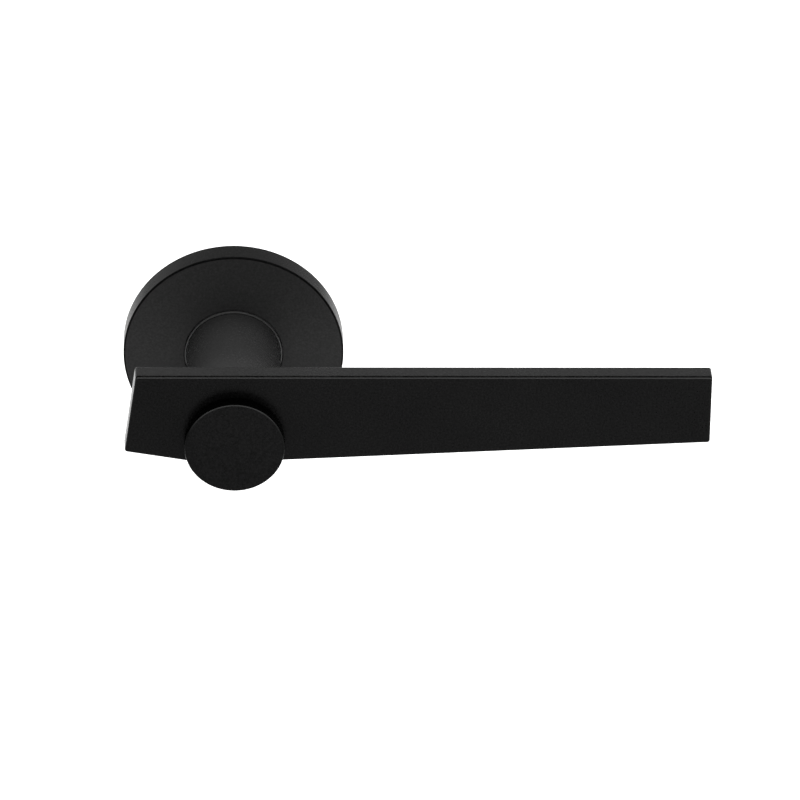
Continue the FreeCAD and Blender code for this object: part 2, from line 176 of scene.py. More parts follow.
washer_bore = 9.1
washer_thickness = 0.6
washer_start = bush_end + seat_gap
cone_bore_gap = 0.15
cone_rise = 0.3
cone_thickness = 0.35
cone_edges = (0.04, 0.06)

circlip_start = low("retaining_ring").y
circlip_end = high("retaining_ring").y
circlip_wall = 1.7
circlip_opening = 14            # degrees
ear_hole = 0.65
ear_radius = 1.5
ear_place = (2.0, -9.78)
groove_radius = 8.45

cassette_front = plate_front - 2.4
lid_front = cassette_front - 0.4
neck_shoulder = lid_front - seat_gap

hex_size = 3.0
set_screw_radius = 2.5
set_screw_length = 6.4
set_screw_nose = 2.1
set_screw_pitch = 0.8
set_screw_lead = 0.4            # plain lead, and the grooves' depth
set_screw_crest = 0.1
set_screw_end = (0.5, 0.6)      # chamfer across and along
set_screw_key_depth = 3.0
clamp_radius = 2.0
clamp_tip = (0.3, 0.5)          # chamfer across and along
clamp_head = 3.5
clamp_head_round = 0.35
clamp_key_depth = 2
clamp_washer_bore = 2.1

dowel_radius = 1.25
dowel_nose = 0.2
dowel_place = (7, 5)

# How far behind a flat front its coat's painted shades and painted highlight change.
flat_reach = 0.004
round_start = 0.02
highlight_end = 0.09
highlight_fade = 0.14

turn_steps = 192                # faces round the large pieces
collar_steps = 96
bush_steps = 128
circlip_steps = 120
screw_steps = 64
washer_steps = 48
dowel_steps = 40
rivet_steps = 32
lug_hole_steps = 48

TAIL_HOLES = {"cassette": tail_hole, "clip": clip_hole, "post": tail_hole}


# ---------------------------------------------------------------- mesh work
def finish_piece(name, bm, material, body, nodes, sharp=30):
    """Closes a mesh up, gives it a finish and puts it on its body in place of CAD nodes."""
    bmesh.ops.remove_doubles(bm, verts=bm.verts, dist=weld_reach)
    bmesh.ops.recalc_face_normals(bm, faces=bm.faces)
    bmesh.ops.scale(bm, vec=Vector((MM, MM, MM)), verts=bm.verts)
    limit = math.radians(sharp)
    for edge in bm.edges:
        edge.smooth = len(edge.link_faces) == 2 and edge.calc_face_angle(0) < limit
    for face in bm.faces:
        face.smooth = True
    mesh = bpy.data.meshes.new(name)
    bm.to_mesh(mesh)
    bm.free()
    piece = bpy.data.objects.new(name, mesh)
    bpy.context.scene.collection.objects.link(piece)
    mesh.materials.append(material)
    weighted = piece.modifiers.new("even_shading", "WEIGHTED_NORMAL")
    weighted.mode = "FACE_AREA"
    weighted.weight = 50
    weighted.keep_sharp = True
    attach(piece, body)
    if nodes:
        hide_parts(*nodes)
    return piece


def join(target, source):
    """Adds one mesh to another and drops the first."""
    held = bpy.data.meshes.new("held")
    source.to_mesh(held)
    source.free()
    target.from_mesh(held)
    bpy.data.meshes.remove(held)


def outline(bm, points, closed=True):
    """A chain of edges through (x, y, z) points."""
    verts = [bm.verts.new(p) for p in points]
    pairs = list(zip(verts, verts[1:]))
    if closed:
        pairs.append((verts[-1], verts[0]))
    return verts, [bm.edges.new(pair) for pair in pairs]


def ease(bm, verts, radius, segments=5):
    """Rounds corners of a flat outline."""
    bmesh.ops.bevel(
        bm,
        geom=verts,
        offset=radius,
        offset_type="OFFSET",
        segments=segments,
        profile=0.5,
        affect="VERTICES",
        material=-1,
    )


def turned(corners, steps=turn_steps, sweep=FULL_TURN):
    """Lathe work about Y: corners are (radius, y, round), and a round of 0 stays sharp."""
    bm = bmesh.new()
    on_axis = corners[0][0] == 0 and corners[-1][0] == 0
    verts, _ = outline(bm, [(r, y, 0) for r, y, _ in corners], closed=not on_axis)
    for vert, (_, _, radius) in zip(verts, corners):
        if radius:
            ease(bm, [vert], radius)
    whole = abs(sweep - FULL_TURN) < 1e-6
    profile = bm.verts[:] + bm.edges[:]
    bmesh.ops.spin(
        bm, geom=profile, cent=ORIGIN, axis=ALONG, angle=sweep, steps=steps, use_merge=whole
    )
    bmesh.ops.remove_doubles(bm, verts=bm.verts, dist=weld_reach)
    if not whole:
        bmesh.ops.holes_fill(bm, edges=[e for e in bm.edges if e.is_boundary], sides=0)
    bmesh.ops.recalc_face_normals(bm, faces=bm.faces)
    return bm


def moved(bm, offset):
    """Shifts a mesh."""
    bmesh.ops.translate(bm, vec=Vector(offset), verts=bm.verts)
    return bm


def swung(bm, degrees, axis="Y"):
    """Turns a mesh about one axis through the origin."""
    matrix = Matrix.Rotation(math.radians(degrees), 3, axis)
    bmesh.ops.rotate(bm, cent=ORIGIN, matrix=matrix, verts=bm.verts)
    return bm


def ring_of_edges(bm, radius, y, centre=(0, 0), sides=96):
    """A circle of edges in a plane across the axis."""
    place = Matrix.Translation((centre[0], y, centre[1])) @ Matrix.Rotation(math.pi / 2, 4, "X")
    made = bmesh.ops.create_circle(bm, cap_ends=False, radius=radius, segments=sides, matrix=place)
    return list(dict.fromkeys(edge for vert in made["verts"] for edge in vert.link_edges))


def punched(rim_edges, y_back, bm):
    """Fills the flat space between loops of edges and pulls it back to a plate."""
    made = bmesh.ops.triangle_fill(bm, use_beauty=True, use_dissolve=False, edges=rim_edges)
    faces = [item for item in made["geom"] if isinstance(item, bmesh.types.BMFace)]
    pulled = bmesh.ops.extrude_face_region(bm, geom=faces)
    verts = [item for item in pulled["geom"] if isinstance(item, bmesh.types.BMVert)]
    depth = y_back - verts[0].co.y
    bmesh.ops.translate(bm, vec=Vector((0, depth, 0)), verts=verts)
    bmesh.ops.recalc_face_normals(bm, faces=bm.faces)
    return bm


def soften(bm, width, segments=2, limit=40):
    """Breaks every edge that is sharper than the limit."""
    edges = [e for e in bm.edges if e.is_manifold and e.calc_face_angle() > math.radians(limit)]
    bmesh.ops.bevel(
        bm,
        geom=edges,
        offset=width,
        offset_type="OFFSET",
        segments=segments,
        profile=0.5,
        affect="EDGES",
        clamp_overlap=True,
        material=-1,
    )
    return bm


def bored(piece_bm, cutter_bm):
    """Takes one closed mesh out of another."""
    meshes = []
    for name, bm in (("stock", piece_bm), ("cutter", cutter_bm)):
        mesh = bpy.data.meshes.new(name)
        bm.to_mesh(mesh)
        bm.free()
        meshes.append(mesh)
    stock, cutter = (bpy.data.objects.new(mesh.name, mesh) for mesh in meshes)
    for item in (stock, cutter):
        bpy.context.scene.collection.objects.link(item)
    drill = stock.modifiers.new("drill", "BOOLEAN")
    drill.operation = "DIFFERENCE"
    drill.solver = "EXACT"
    drill.object = cutter
    graph = bpy.context.evaluated_depsgraph_get()
    result = bpy.data.meshes.new_from_object(stock.evaluated_get(graph))
    out = bmesh.new()
    out.from_mesh(result)
    for item in (stock, cutter):
        bpy.data.objects.remove(item)
    for mesh in meshes + [result]:
        bpy.data.meshes.remove(mesh)
    return out


def hex_key(across_flats, start, end):
    """A hexagonal prism along Y."""
    bm = bmesh.new()
    edges = ring_of_edges(bm, across_flats / math.sqrt(3), start, sides=6)
    return punched(edges, end, bm)


def ring_profile(inner, outer, start, end, inner_edge=hair_edge, outer_edge=fine_edge):
    """Corners of a plain ring for the lathe."""
    return [
        (inner, start, inner_edge),
        (outer, start, outer_edge),
        (outer, end, outer_edge),
        (inner, end, inner_edge),
    ]


def block(across, along, half_height):
    """A box, from its reach in X, its reach in Y and half its height."""
    bm = bmesh.new()
    bmesh.ops.create_cube(bm, size=1)
    size = Vector((across[1] - across[0], along[1] - along[0], 2 * half_height))
    bmesh.ops.scale(bm, vec=size, verts=bm.verts)
    return moved(bm, ((across[0] + across[1]) / 2, (along[0] + along[1]) / 2, 0))


# ---------------------------------------------------------------- shader work
class Wire:
    """A socket's output that can be used in sums."""

    def __init__(self, tree, socket):
        self.tree = tree
        self.socket = socket

    def sum(self, operation, *others, flip=False):
        terms = [self, *others]
        if flip:
            terms.reverse()
        return self.tree.add("ShaderNodeMath", {"operation": operation}, dict(enumerate(terms)))

    def __add__(self, other):
        return self.sum("ADD", other)

    def __mul__(self, other):
        return self.sum("MULTIPLY", other)

    def __sub__(self, other):
        return self.sum("SUBTRACT", other)

    def __rsub__(self, other):
        return self.sum("SUBTRACT", other, flip=True)

    __radd__ = __add__
    __rmul__ = __mul__


def socket_name(word):
    """The shader's own spelling of a socket that is written as a Python name."""
    return word.replace("_", " ").title().replace("Ior", "IOR")


def grey(shade):
    """A neutral colour."""
    return (shade, shade, shade)


class Finish:
    """A material's node tree, built with one method for every kind of node."""

    def __init__(self, name, **constants):
        self.material = bpy.data.materials.new(name)
        self.material.use_nodes = True
        self.nodes = self.material.node_tree.nodes
        self.links = self.material.node_tree.links
        self.shader = self.nodes["Principled BSDF"]
        for word, value in constants.items():
            self.shader.inputs[socket_name(word)].default_value = value

    def add(self, kind, settings=None, inputs=None, output=0):
        node = self.nodes.new(kind)
        for key, value in (settings or {}).items():
            if key == "stops":
                ramp = node.color_ramp
                while len(ramp.elements) < len(value):
                    ramp.elements.new(0.5)
                for element, (position, shade) in zip(ramp.elements, value):
                    element.position = position
                    element.color = (shade, shade, shade, 1)
            else:
                setattr(node, key, value)
        for socket, value in (inputs or {}).items():
            if isinstance(value, Wire):
                self.links.new(value.socket, node.inputs[socket])
            else:
                node.inputs[socket].default_value = value
        return Wire(self, node.outputs[output])

    def place(self):
        return self.add("ShaderNodeTexCoord", output="Object")

    def place_along(self, axis):
        """Millimetres along one axis."""
        return self.add("ShaderNodeSeparateXYZ", {}, {0: self.place()}, output=axis) * (1 / MM)

    def noise(self, scale, detail=2.0, roughness=0.5, vector=None):
        return self.add(
            "ShaderNodeTexNoise",
            {"noise_dimensions": "3D"},
            {
                "Vector": vector or self.place(),
                "Scale": scale,
                "Detail": detail,
                "Roughness": roughness,
            },
            output=0,
        )

    def ramp(self, value, *stops):
        return self.add("ShaderNodeValToRGB", {"stops": stops}, {"Fac": value})

    def blend(self, factor, first, second):
        colours = {
            socket: (*colour, 1) if isinstance(colour, tuple) else colour
            for socket, colour in ((MIX_FIRST, first), (MIX_SECOND, second))
        }
        return self.add(
            "ShaderNodeMix", {"data_type": "RGBA"}, {"Factor": factor, **colours}, output=MIX_COLOUR
        )

    def feed(self, **sockets):
        for word, value in sockets.items():
            self.links.new(value.socket, self.shader.inputs[socket_name(word)])

    def relief(self, height, depth, strength=1.0):
        self.feed(Normal=self.add(
            "ShaderNodeBump", {}, {"Height": height, "Distance": depth, "Strength": strength}
        ))


def satin_black(name, gloss, edge, face=None, front=rose_front, painted_highlight=None):
    """Satin black powder coat: a fine grain, a slow orange peel and faint handling marks.

    Edge and face are the darkest and lightest shades of the mottle; the flat front can have its
    own, and a face lighter or darker than the rounds is painted light and shade on one coat.
    The last argument paints a highlight on the start of its upper round: a shade, then the
    heights between which it comes in.
    """
    coat = Finish(name, specular_ior_level=gloss)
    grain = coat.noise(scale=2100, detail=3, roughness=0.65)
    peel = coat.noise(scale=700, detail=1)
    cloud = coat.noise(scale=42, detail=4, roughness=0.6)
    mottle = coat.ramp(cloud * 0.2 + grain * 0.8, (0.36, 0.0), (0.64, 1.0))
    colour = coat.blend(mottle, grey(edge[0]), grey(edge[1]))
    behind = coat.place_along("Y") - front
    # The flat front's own shades against the rounds: painted light and shade.
    if face:
        flat = coat.ramp(behind, (flat_reach, 1.0), (round_start, 0.0))
        colour = coat.blend(flat, colour, coat.blend(mottle, grey(face[0]), grey(face[1])))
    # Painted highlight: lightens the start of the front round, more towards the top.
    if painted_highlight:
        shade, start, full = painted_highlight
        upper = coat.ramp(
            (coat.place_along("Z") - start) * (1 / (full - start)), (0.0, 0.0), (1.0, 1.0)
        )
        band = coat.ramp(
            behind, (flat_reach, 0.0), (round_start, 1.0), (highlight_end, 1.0), (highlight_fade, 0.0)
        )
        colour = coat.blend(band * upper, colour, grey(shade))
    coat.feed(
        Base_Color=colour,
        Roughness=coat.ramp(cloud * 0.5 + grain * 0.5, (0.3, 0.22), (0.7, 0.3)),
    )
    coat.relief(grain * 0.75 + peel * 0.25, depth=0.000045, strength=0.7)
    return coat.material


def black_nylon():
    """Moulded black nylon with a faint spark texture."""
    nylon = Finish("black_nylon", specular_ior_level=0.5)
    spark = nylon.noise(scale=3000, detail=3)
    nylon.feed(
        # Set lighter than the satin coat so the guide ring's lip shows as the light line round the neck:
        # black nylon, partly a painted highlight.
        Base_Color=nylon.blend(spark, grey(0.030), grey(0.046)),
        Roughness=nylon.ramp(spark, (0.3, 0.42), (0.7, 0.55)),
    )
    nylon.relief(spark, depth=0.00002, strength=0.4)
    return nylon.material


def natural_nylon():
    """Ivory bearing nylon."""
    nylon = Finish("natural_nylon", specular_ior_level=0.5)
    cloud = nylon.noise(scale=300, detail=4)
    nylon.feed(
        Base_Color=nylon.blend(cloud, (0.72, 0.69, 0.60), (0.80, 0.78, 0.71)),
        Roughness=nylon.ramp(cloud, (0.3, 0.38), (0.7, 0.52)),
    )
    nylon.relief(cloud, depth=0.00002, strength=0.3)
    return nylon.material


def zinc_plate():
    """Bright zinc plate: a cloudy sheen over the rolling marks of the strip."""
    zinc = Finish("zinc_plate", metallic=1.0)
    cloud = zinc.noise(scale=160, detail=5, roughness=0.65)
    speck = zinc.noise(scale=2600, detail=2)
    stretched = zinc.add(
        "ShaderNodeMapping", {"vector_type": "POINT"}, {"Vector": zinc.place(), "Scale": (40, 900, 1400)}
    )
    rolled = zinc.noise(scale=1.0, detail=3, roughness=0.7, vector=stretched)
    patches = zinc.ramp(cloud, (0.35, 0.0), (0.7, 1.0))
    zinc.feed(
        Base_Color=zinc.blend(patches, (0.44, 0.46, 0.49), (0.60, 0.61, 0.62)),
        Roughness=zinc.ramp(cloud * 0.5 + speck * 0.2 + rolled * 0.3, (0.3, 0.24), (0.7, 0.42)),
    )
    zinc.relief(rolled * 0.6 + speck * 0.4, depth=0.00002, strength=0.3)
    return zinc.material


def spring_steel():
    """Oiled spring steel, grey with blued patches."""
    steel = Finish("spring_steel", metallic=1.0)
    cloud = steel.noise(scale=240, detail=5)
    patches = steel.ramp(cloud, (0.4, 0.0), (0.65, 1.0))
    steel.feed(
        Base_Color=steel.blend(patches, (0.20, 0.20, 0.22), (0.33, 0.32, 0.31)),
        Roughness=steel.ramp(cloud, (0.3, 0.26), (0.7, 0.42)),
    )
    steel.relief(steel.noise(scale=2400, detail=2), depth=0.00001, strength=0.3)
    return steel.material


def ground_steel():
    """Ground pin steel."""
    steel = Finish("ground_steel", metallic=1.0)
    marks = steel.noise(scale=1800, detail=3)
    steel.feed(
        Base_Color=steel.blend(marks, (0.46, 0.46, 0.47), (0.56, 0.56, 0.57)),
        Roughness=steel.ramp(marks, (0.3, 0.2), (0.7, 0.32)),
    )
    return steel.material


def black_oxide():
    """Oiled black oxide on machine screws."""
    oxide = Finish("black_oxide", metallic=0.7)
    cloud = oxide.noise(scale=420, detail=4)
    oxide.feed(
        Base_Color=oxide.blend(cloud, (0.018, 0.018, 0.020), (0.040, 0.039, 0.040)),
        Roughness=oxide.ramp(cloud, (0.3, 0.32), (0.7, 0.48)),
    )
    oxide.relief(oxide.noise(scale=3000, detail=2), depth=0.00001, strength=0.3)
    return oxide.material


# One satin black coat in four copies whose colours differ only for how light falls on each piece:
# painted light and shade. The bar's copy is painted darker and has a painted highlight on its top front
# round.
BAR_BLACK = satin_black(
    "satin_black_bar",
    gloss=0.05,
    edge=(0.0005, 0.0070),
    front=bar_front,
    painted_highlight=(0.045, bar_top - 0.65, bar_top - 0.55),
)
# The disc's rounds, side wall and web are painted near black, painted shade for the dark crescent round
# the disc; its front matches the bar, and its upper round has a painted highlight.
DISC_BLACK = satin_black(
    "satin_black_disc",
    gloss=0.05,
    edge=(0.0001, 0.0006),
    face=(0.0005, 0.0070),
    front=boss_front,
    painted_highlight=(0.035, boss_radius * 0.3, boss_radius * 0.8),
)
# The neck's copy is painted lighter than the bar: painted light on the same coat.
NECK_BLACK = satin_black("satin_black_neck", gloss=0.05, edge=(0.013, 0.018))
# The rose's rim and edge round are painted far darker than its front face: painted shade for the dark
# line round the edge, and a painted lighter face.
ROSE_BLACK = satin_black(
    "satin_black_rose", gloss=0.02, edge=(0.001, 0.004), face=(0.025, 0.034)
)
BLACK_NYLON = black_nylon()
NATURAL_NYLON = natural_nylon()
ZINC = zinc_plate()
SPRING_STEEL = spring_steel()
GROUND_STEEL = ground_steel()
BLACK_OXIDE = black_oxide()


# ---------------------------------------------------------------- rose side
def rose_cover():
    """Pressed cup with a rolled front edge and a bore for the guide ring."""
    inner = rose_radius - cover_wall
    bore = neck_radius + ring_gap + ring_wall + ring_slack
    bm = turned([
        (bore, rose_front, thin_edge),
        (rose_radius, rose_front, cover_round),
        (rose_radius, 0, broken_edge),
        (inner, 0, broken_edge),
        (inner, rose_front + cover_wall, cover_inner_round),
        (bore, rose_front + cover_wall, fine_edge),
    ])
    return finish_piece("rose_cover_skin", bm, ROSE_BLACK, "rose", ["rose_cover"])


def guide_ring():
    """Flanged ring whose rounded lip shows as a fine line round the neck."""
    bore = neck_radius + ring_gap
    outer = bore + ring_wall
    seat = rose_front + cover_wall
    bm = turned([
        (bore, ring_front, fine_edge),
        (outer, ring_front, eased_edge),
        (outer, seat, 0),
        (ring_flange, seat, fine_edge),
        (ring_flange, ring_back, fine_edge),
        (bore, ring_back, fine_edge),
    ])
    return finish_piece(
        "guide_ring_lip", bm, BLACK_NYLON, "rose", ["neck_guide_ring"]
    )


def base_plate():
    """Pressed plate with its drawn collar and the holes for lugs and rivets."""
    bm = bmesh.new()
    bore = collar_radius - collar_wall
    rim = ring_of_edges(bm, plate_radius, plate_front, sides=turn_steps)
    rim += ring_of_edges(bm, bore, plate_front, sides=collar_steps)
    for side in (-1, 1):
        rim += ring_of_edges(bm, lug_spigot, plate_front, (side * lug_place, 0), sides=lug_hole_steps)
    for kind, centre in tail_places():
        rim += ring_of_edges(bm, TAIL_HOLES[kind], plate_front, centre, sides=rivet_steps)
    punched(rim, 0, bm)
    soften(bm, eased_edge)
    collar = turned([
        (bore, -collar_sink, 0),
        (collar_radius + collar_root, -collar_sink, 0),
        (collar_radius + collar_root, 0, 0),
        (collar_radius, 0, collar_root),
        (collar_radius, collar_end, collar_lip),
        (bore, collar_end, eased_edge),
    ], steps=collar_steps)
    join(bm, collar)
    return finish_piece(
        "base_plate_pressing", bm, ZINC, "rose", ["base_plate"], sharp=20
    )


def tail_places():
    """Kinds and centres of the rivets and the spring post in the base plate."""
    cassette = (high("cassette_rivets").x - cassette_head) * math.sqrt(2)
    clips = (high("clip_rivets").x - clip_head) * math.sqrt(2)
    places = []
    for angle in QUARTERS:
        c, s = math.cos(math.radians(angle)), math.sin(math.radians(angle))
        places.append(("cassette", (cassette * c, cassette * s)))
        places.append(("clip", (clips * c, clips * s)))
    post = (low("spring_post") + high("spring_post")) / 2
    places.append(("post", (post.x, post.z)))
    return places


def lug(side):
    """Lug with a lead-in chamfer, and ring grooves at the thread's pitch in its bore."""
    corners = [
        (0, plate_front, 0),
        (lug_spigot, plate_front, soft_edge),
        (lug_spigot, 0, 0),
        (lug_radius, 0, thin_edge),
        (lug_radius, lug_end - lug_chamfer, fine_edge),
        (lug_radius - lug_chamfer, lug_end, fine_edge),
        (lug_crest + lug_mouth_flare, lug_end, 0),
        (lug_crest, lug_end - lug_mouth, 0),
    ]
    for step in range(int((lug_bore - lug_runout) / lug_pitch)):
        y = lug_end - lug_mouth - lug_pitch * step
        corners += [
            (lug_core, y - lug_pitch * thread_root[0], 0),
            (lug_core, y - lug_pitch * thread_root[1], 0),
            (lug_crest, y - lug_pitch, 0),
        ]
    bottom = lug_end - lug_bore
    corners += [(lug_core, bottom + lug_mouth, 0), (0, bottom, 0)]
    bm = moved(turned(corners, steps=screw_steps), (side * lug_place, 0, 0))
    name = "left" if side < 0 else "right"
    return finish_piece(
        f"threaded_lug_{name}", bm, ZINC, "rose", [f"fixing_lug_{name}"]
    )


def bush():
    """Flanged bearing bush."""
    bore = journal_radius + seat_gap
    bm = turned([
        (bore, plate_front, soft_edge),
        (bore + bush_wall, plate_front, soft_edge),
        (bore + bush_wall, collar_end, 0),
        (collar_radius, collar_end, broken_edge),
        (collar_radius, bush_end, eased_edge),
        (bore, bush_end, eased_edge),
    ], steps=bush_steps)
    return finish_piece(
        "bush_flange", bm, NATURAL_NYLON, "rose", ["bearing_bush"]
    )


def clip_rivet():
    """Flat-headed rivet that holds a cover clip."""
    head = low("clip_rivets").y
    return turned([
        (0, head, 0),
        (clip_head, head, eased_edge),
        (clip_head, head + clip_head_height, 0),
        (clip_shank, head + clip_head_height, 0),
        (clip_shank, -tail_sink, broken_edge),
        (0, -tail_sink, 0),
    ], steps=rivet_steps)


def cassette_rivet():
    """Shouldered rivet that spaces the spring cover off the base plate."""
    head = low("cassette_rivets").y
    return turned([
        (0, head, 0),
        (cassette_head, head, broken_edge),
        (cassette_head, lid_front, 0),
        (cassette_shank, lid_front, 0),
        (cassette_shank, cassette_front, 0),
        (cassette_shoulder, cassette_front, hair_edge),
        (cassette_shoulder, plate_front, hair_edge),
        (cassette_shank, plate_front, 0),
        (cassette_shank, -tail_sink, broken_edge),
        (0, -tail_sink, 0),
    ], steps=dowel_steps)


def anchor_post():
    """Shouldered post that the spring's outer end hooks on."""
    top = low("spring_post").y
    return turned([
        (0, top, 0),
        (post_radius, top, eased_edge),
        (post_radius, post_shoulder, 0),
        (cassette_shank, post_shoulder, 0),
        (cassette_shank, -tail_sink, broken_edge),
        (0, -tail_sink, 0),
    ], steps=dowel_steps)


def rivets():
    """Cassette rivets, clip rivets and the spring post, each set as one piece."""
    makers = {"cassette": cassette_rivet, "clip": clip_rivet, "post": anchor_post}
    sets = {kind: bmesh.new() for kind in makers}
    for kind, (x, z) in tail_places():
        join(sets[kind], moved(makers[kind](), (x, 0, z)))
    finish_piece(
        "cassette_rivet_set", sets["cassette"], ZINC, "rose",
        ["cassette_rivets"],
    )
    finish_piece(
        "clip_rivet_set", sets["clip"], ZINC, "rose", ["clip_rivets"]
    )
    finish_piece(
        "anchor_post", sets["post"], GROUND_STEEL, "rose", ["spring_post"]
    )


# ---------------------------------------------------------------- lever side
def bar_corners():
    """Corners (x, z) of the bar's front outline, before its rounds take a little off."""
    right = bar_right + bar_right_trim
    left = bar_left + bar_lean - bar_left_trim
    return [
        (left + bar_left_slant, bar_top),
        (right, bar_top),
        (right - bar_right_slant, bar_apex + bar_right_rise),
        (bar_apex_place, bar_apex),
        (left, bar_apex + bar_left_rise),
    ]


def grip_bar():
    """Flat bar: level top edge, lower edge falling to an apex beside the neck, ends cut square."""
    bm = bmesh.new()
    verts, _ = outline(bm, [(x, bar_front, z) for x, z in bar_corners()])
    face = bm.faces.new(verts)
    pulled = bmesh.ops.extrude_face_region(bm, geom=[face])
    back = [item for item in pulled["geom"] if isinstance(item, bmesh.types.BMVert)]
    bmesh.ops.translate(bm, vec=Vector((-bar_lean, bar_back - bar_front, 0)), verts=back)
    bmesh.ops.recalc_face_normals(bm, faces=bm.faces)
    bmesh.ops.bevel(
        bm,
        geom=bm.edges[:],
        offset=bar_round,
        offset_type="OFFSET",
        segments=8,
        profile=0.5,
        affect="EDGES",
        material=-1,
    )
    return finish_piece("flat_grip", bm, BAR_BLACK, "lever", ["grip_bar"], sharp=60)


def neck():
    """Turned neck and journal with everything that is cut into it."""
    groove_start, groove_end = circlip_start - seat_gap, circlip_end + seat_gap
    bm = turned([
        (0, bar_back, 0),
        (neck_radius, bar_back, broken_edge),
        *((neck_radius, y, 0) for y in neck_steps),
        (neck_radius, neck_shoulder, broken_edge),
        (journal_radius, neck_shoulder, 0),
        (journal_radius, groove_start, 0),
        (groove_radius, groove_start, 0),
        (groove_radius, groove_end, 0),
        (journal_radius, groove_end, hair_edge),
        (journal_radius, neck_back - journal_chamfer, hair_edge),
        (journal_radius - journal_chamfer, neck_back, hair_edge),
        (0, neck_back, 0),
    ])
    bm = bored(bm, block((-socket_half, socket_half), (socket_floor, neck_back + overrun), socket_half))
    seat = low("clamp_washer").y
    bm = bored(bm, turned([
        (0, bar_back - overrun, 0),
        (clamp_hole, bar_back - overrun, 0),
        (clamp_hole, seat, 0),
        (clamp_pocket, seat, 0),
        (clamp_pocket, socket_floor + overrun, 0),
        (0, socket_floor + overrun, 0),
    ], steps=screw_steps))
    for side in (-1, 1):
        flat = sorted((side * driver_flat, side * (driver_flat + flat_depth)))
        bm = bored(bm, block(flat, (cassette_front, plate_front), flat_half_height))
    hole = turned([
        (0, set_screw_hole_depth, 0),
        (set_screw_hole, set_screw_hole_depth, 0),
        (set_screw_hole, neck_radius - set_screw_rim_depth, 0),
        (set_screw_rim, neck_radius + set_screw_rim_top, 0),
        (0, neck_radius + set_screw_rim_top, 0),
    ], steps=screw_steps)
    swung(hole, -90, "X")
    moved(hole, (0, set_screw_place, 0))
    bm = bored(bm, hole)
    return finish_piece("turned_neck", bm, NECK_BLACK, "lever", ["neck"])


def front_boss():
    """Front disc with its eased edge, and the web that closes the neck under the bar."""
    bm = turned([
        (0, boss_front, 0),
        (boss_radius, boss_front, boss_round),
        (boss_radius, bar_front - boss_undercut, hair_edge),
        (boss_radius - boss_undercut, bar_front, 0),
        (0, bar_front, 0),
    ])
    web = turned([
        (0, bar_front, 0),
        (neck_radius, bar_front, 0),
        (neck_radius, bar_back - web_chamfer, hair_edge),
        (neck_radius - web_chamfer, bar_back, 0),
        (0, bar_back, 0),
    ])
    right, apex, left = (Vector((x, 0, z - web_gap)) for x, z in bar_corners()[2:])
    for far in (right, left):
        run = far - apex
        normal = Vector((-run.z, 0, run.x)).normalized()
        if normal.z < 0:
            normal.negate()
        cut = bmesh.ops.bisect_plane(
            web,
            geom=web.verts[:] + web.edges[:] + web.faces[:],
            plane_co=apex,
            plane_no=normal,
            clear_outer=True,
        )
        edges = [item for item in cut["geom_cut"] if isinstance(item, bmesh.types.BMEdge)]
        bmesh.ops.edgenet_fill(web, edges=edges)
    join(bm, web)
    return finish_piece("front_disc", bm, DISC_BLACK, "lever", ["front_boss"])


def spindle():
    """Square bar with drawn corners and a broken end."""
    along = (low("spindle").y, high("spindle").y)
    bm = block((-spindle_half, spindle_half), along, spindle_half)
    soften(bm, spindle_corner, segments=1)
    soften(bm, fine_edge, segments=2, limit=30)
    return finish_piece("square_spindle", bm, ZINC, "lever", ["spindle"])


def washers():
    """Thrust washer and disc spring behind the bush."""
    end = washer_start + washer_thickness
    outer = high("thrust_washer").x
    ring = ring_profile(washer_bore, outer, washer_start, end, fine_edge, broken_edge)
    bm = turned(ring, steps=collar_steps)
    finish_piece("thrust_washer_disc", bm, ZINC, "lever", ["thrust_washer"])
    inner, outer = journal_radius + cone_bore_gap, high("disc_spring").x
    bm = turned([
        (inner, end + cone_rise, cone_edges[0]),
        (outer, end, cone_edges[0]),
        (outer, end + cone_thickness, fine_edge),
        (inner, end + cone_rise + cone_thickness, cone_edges[1]),
    ], steps=collar_steps)
    finish_piece("coned_washer", bm, SPRING_STEEL, "lever", ["disc_spring"])


def circlip():
    """Snap ring with two drilled ears."""
    inner = groove_radius + seat_gap
    ring = ring_profile(inner, inner + circlip_wall, circlip_start, circlip_end)
    bm = turned(ring, steps=circlip_steps, sweep=math.radians(360 - circlip_opening))
    swung(bm, 90 - circlip_opening / 2)
    across, down = ear_place
    for side in (-1, 1):
        ear = turned(ring_profile(ear_hole, ear_radius, circlip_start, circlip_end), steps=dowel_steps)
        join(bm, moved(ear, (side * across, 0, down)))
    return finish_piece("snap_ring", bm, SPRING_STEEL, "lever", ["retaining_ring"])


def set_screw():
    """Set screw under the neck: ring grooves at the thread's pitch, and a hexagon socket."""
    radius, length, pitch = set_screw_radius, set_screw_length, set_screw_pitch
    corners = [(0, 0, 0), (set_screw_nose, 0, hair_edge)]
    for step in range(int((length - 2 * set_screw_lead) / pitch)):
        y = set_screw_lead + pitch * step
        corners += [
            (radius, y, 0),
            (radius, y + set_screw_crest, 0),
            (radius - set_screw_lead, y + pitch / 2, 0),
        ]
    corners += [
        (radius, length - set_screw_end[1], 0),
        (radius - set_screw_end[0], length, hair_edge),
        (0, length, 0),
    ]
    key = hex_key(hex_size, -overrun, set_screw_key_depth)
    bm = bored(turned(corners, steps=screw_steps), key)
    swung(bm, 90, "X")
    moved(bm, (0, set_screw_place, set_screw_head))
    finish_piece("set_screw", bm, BLACK_OXIDE, "lever", ["grub_screw"])


